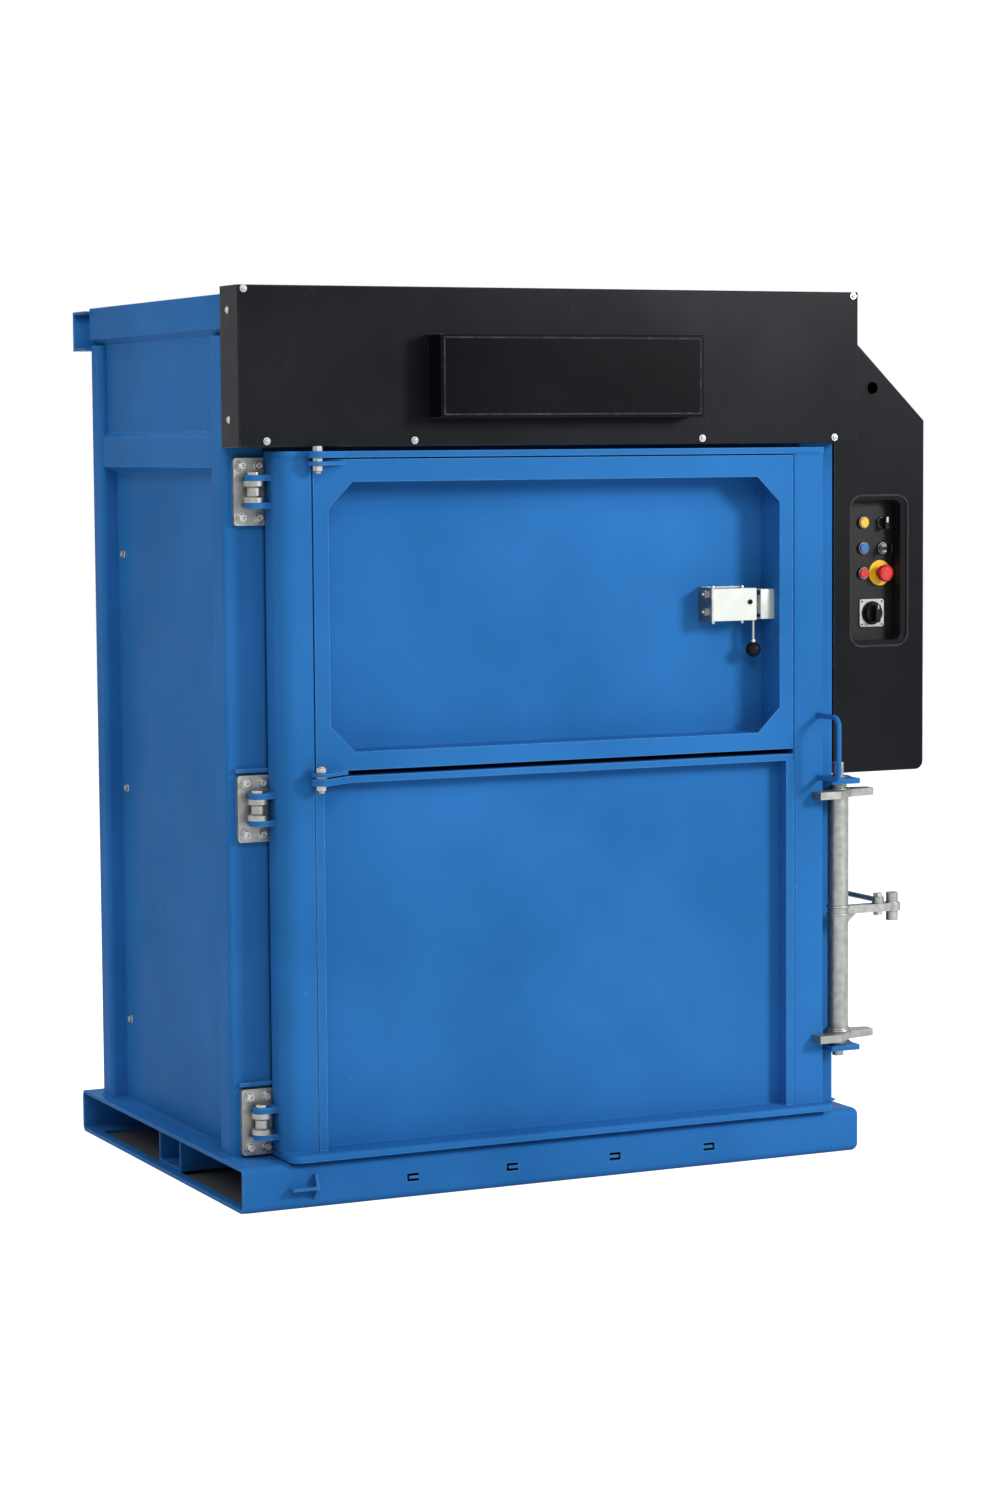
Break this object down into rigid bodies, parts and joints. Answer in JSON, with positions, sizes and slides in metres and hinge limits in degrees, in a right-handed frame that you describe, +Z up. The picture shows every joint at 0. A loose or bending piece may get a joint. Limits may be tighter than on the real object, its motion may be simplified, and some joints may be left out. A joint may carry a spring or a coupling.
{
  "type": "vertical recycling baler",
  "caption": "Vertical baler with a full-height side-hinged door, an upper loading hatch, a claw lock, a hooded head and a control cabinet on the right wall.",
  "frame": {"origin": "on the floor, on the centre plane of the door and halfway between the base's front and rear faces", "axes": "+X to the control cabinet's side, +Y to the rear, +Z up"},
  "size_m": [1.779, 1.149, 1.985],
  "materials": {
    "blue_paint": "semi-gloss enamel over folded and welded steel",
    "black_paint": "satin powder coat",
    "galvanised": "zinc-plated, slightly mottled",
    "fastener_steel": "bright zinc-plated",
    "cream_plated": "yellow-passivated zinc",
    "bare_steel": "machined steel",
    "cylinder_chrome": "ground and chromed",
    "black_plastic": "moulded plastic",
    "grey_plastic": "moulded plastic",
    "yellow_plastic": "moulded plastic",
    "blue_plastic": "moulded plastic",
    "red_plastic": "moulded plastic",
    "tank_paint": "satin paint"
  },
  "bodies": {
    "press_frame": {"base_tray": "blue_paint", "base_centre_channel": "blue_paint", "base_stop_bracket": "blue_paint", "front_left_post": "blue_paint", "front_right_post": "blue_paint", "rear_left_post": "blue_paint", "rear_right_post": "blue_paint", "left_side_wall": "blue_paint", "right_side_wall": "blue_paint", "rear_wall": "blue_paint", "rear_top_channel": "blue_paint", "front_head_beam": "blue_paint", "crosshead": "blue_paint", "hood_cover": "black_paint", "hood_name_box": "black_paint", "cover_screws": "fastener_steel", "hinge_plates": "galvanised", "hinge_pins": "fastener_steel", "hinge_screws": "fastener_steel", "hinge_seat_bars": "blue_paint", "cabinet_shell": "black_paint", "cabinet_rear_cover": "black_paint", "control_tub": "black_plastic", "main_switch_plate": "grey_plastic", "estop_collar": "yellow_plastic", "button_collars": "cylinder_chrome", "oil_tank": "tank_paint", "pump_motor": "tank_paint", "lock_brackets": "blue_paint", "lock_pins": "galvanised", "lock_rod_guide": "blue_paint", "cylinder_barrels": "blue_paint"},
    "cylinder_stage_one": {"cylinder_stage_one": "cylinder_chrome"},
    "cylinder_stage_two": {"cylinder_stage_two": "cylinder_chrome"},
    "platen": {"platen": "blue_paint", "cylinder_rods": "cylinder_chrome"},
    "main_door": {"door_frame": "blue_paint", "door_lower_panel": "blue_paint", "door_hinge_lugs": "blue_paint", "door_handle": "blue_paint", "hatch_pins": "fastener_steel"},
    "hatch": {"hatch_frame": "blue_paint", "hatch_panel": "blue_paint", "latch_bracket": "galvanised", "latch_box": "cream_plated", "latch_guide": "cream_plated"},
    "latch_bolt": {"latch_bolt": "bare_steel", "latch_lever": "fastener_steel", "lever_ball": "black_plastic"},
    "lock_shaft": {"lock_shaft": "galvanised", "lock_claws": "galvanised", "lock_arm": "galvanised"},
    "lock_pull_rod": {"lock_pull_rod": "galvanised"},
    "yellow_button": {"yellow_button": "yellow_plastic"},
    "blue_button": {"blue_button": "blue_plastic"},
    "red_button": {"red_button": "red_plastic"},
    "selector_knob": {"selector_knob": "black_plastic"},
    "key_selector": {"key_selector": "cylinder_chrome"},
    "estop_head": {"estop_head": "red_plastic"},
    "main_switch_knob": {"main_switch_knob": "black_plastic"}
  },
  "joints": [
    {"name": "main_door_hinge", "type": "hinge", "parent": "press_frame", "child": "main_door", "pos_m": [-0.701, -0.452, 0.864], "axis": [0, 0, -1], "range_deg": [0, 140]},
    {"name": "hatch_hinge", "type": "hinge", "parent": "main_door", "child": "hatch", "pos_m": [-0.588, -0.54, 1.28], "axis": [0, 0, -1], "range_deg": [0, 120]},
    {"name": "latch_draw", "type": "slide", "parent": "hatch", "child": "latch_bolt", "axis": [-1, 0, 0], "range_m": [0, 0.032], "stiffness_N_per_m": 300},
    {"name": "lock_turn", "type": "hinge", "parent": "press_frame", "child": "lock_shaft", "pos_m": [0.724, -0.49, 0.553], "axis": [0, 0, 1], "range_deg": [0, 50]},
    {"name": "lock_rod_pivot", "type": "hinge", "parent": "lock_shaft", "child": "lock_pull_rod", "pos_m": [0.832, -0.49, 0.5775], "axis": [0, 0, 1], "range_deg": [-50, 0]},
    {"name": "platen_travel", "type": "slide", "parent": "press_frame", "child": "platen", "axis": [0, 0, -1], "range_m": [0, 0.654]},
    {"name": "stage_one_travel", "type": "slide", "parent": "press_frame", "child": "cylinder_stage_one", "axis": [0, 0, -1], "range_m": [0, 0.218]},
    {"name": "stage_two_travel", "type": "slide", "parent": "press_frame", "child": "cylinder_stage_two", "axis": [0, 0, -1], "range_m": [0, 0.436]},
    {"name": "yellow_press", "type": "slide", "parent": "press_frame", "child": "yellow_button", "axis": [0, 1, 0], "range_m": [0, 0.004], "stiffness_N_per_m": 400},
    {"name": "blue_press", "type": "slide", "parent": "press_frame", "child": "blue_button", "axis": [0, 1, 0], "range_m": [0, 0.004], "stiffness_N_per_m": 400},
    {"name": "red_press", "type": "slide", "parent": "press_frame", "child": "red_button", "axis": [0, 1, 0], "range_m": [0, 0.004], "stiffness_N_per_m": 400},
    {"name": "selector_turn", "type": "hinge", "parent": "press_frame", "child": "selector_knob", "pos_m": [0.919, -0.36, 1.454], "axis": [0, 1, 0], "range_deg": [0, 90]},
    {"name": "key_turn", "type": "hinge", "parent": "press_frame", "child": "key_selector", "pos_m": [0.919, -0.36, 1.394], "axis": [0, 1, 0], "range_deg": [0, 90]},
    {"name": "estop_press", "type": "slide", "parent": "press_frame", "child": "estop_head", "axis": [0, 1, 0], "range_m": [0, 0.006]},
    {"name": "main_switch_turn", "type": "hinge", "parent": "press_frame", "child": "main_switch_knob", "pos_m": [0.89, -0.365, 1.242], "axis": [0, 1, 0], "range_deg": [0, 90]}
  ],
  "couplings": [
    {"joint": "lock_rod_pivot", "follows": "lock_turn", "ratio": -1},
    {"joint": "stage_one_travel", "follows": "platen_travel", "ratio": 0.33333},
    {"joint": "stage_two_travel", "follows": "platen_travel", "ratio": 0.66667}
  ]
}
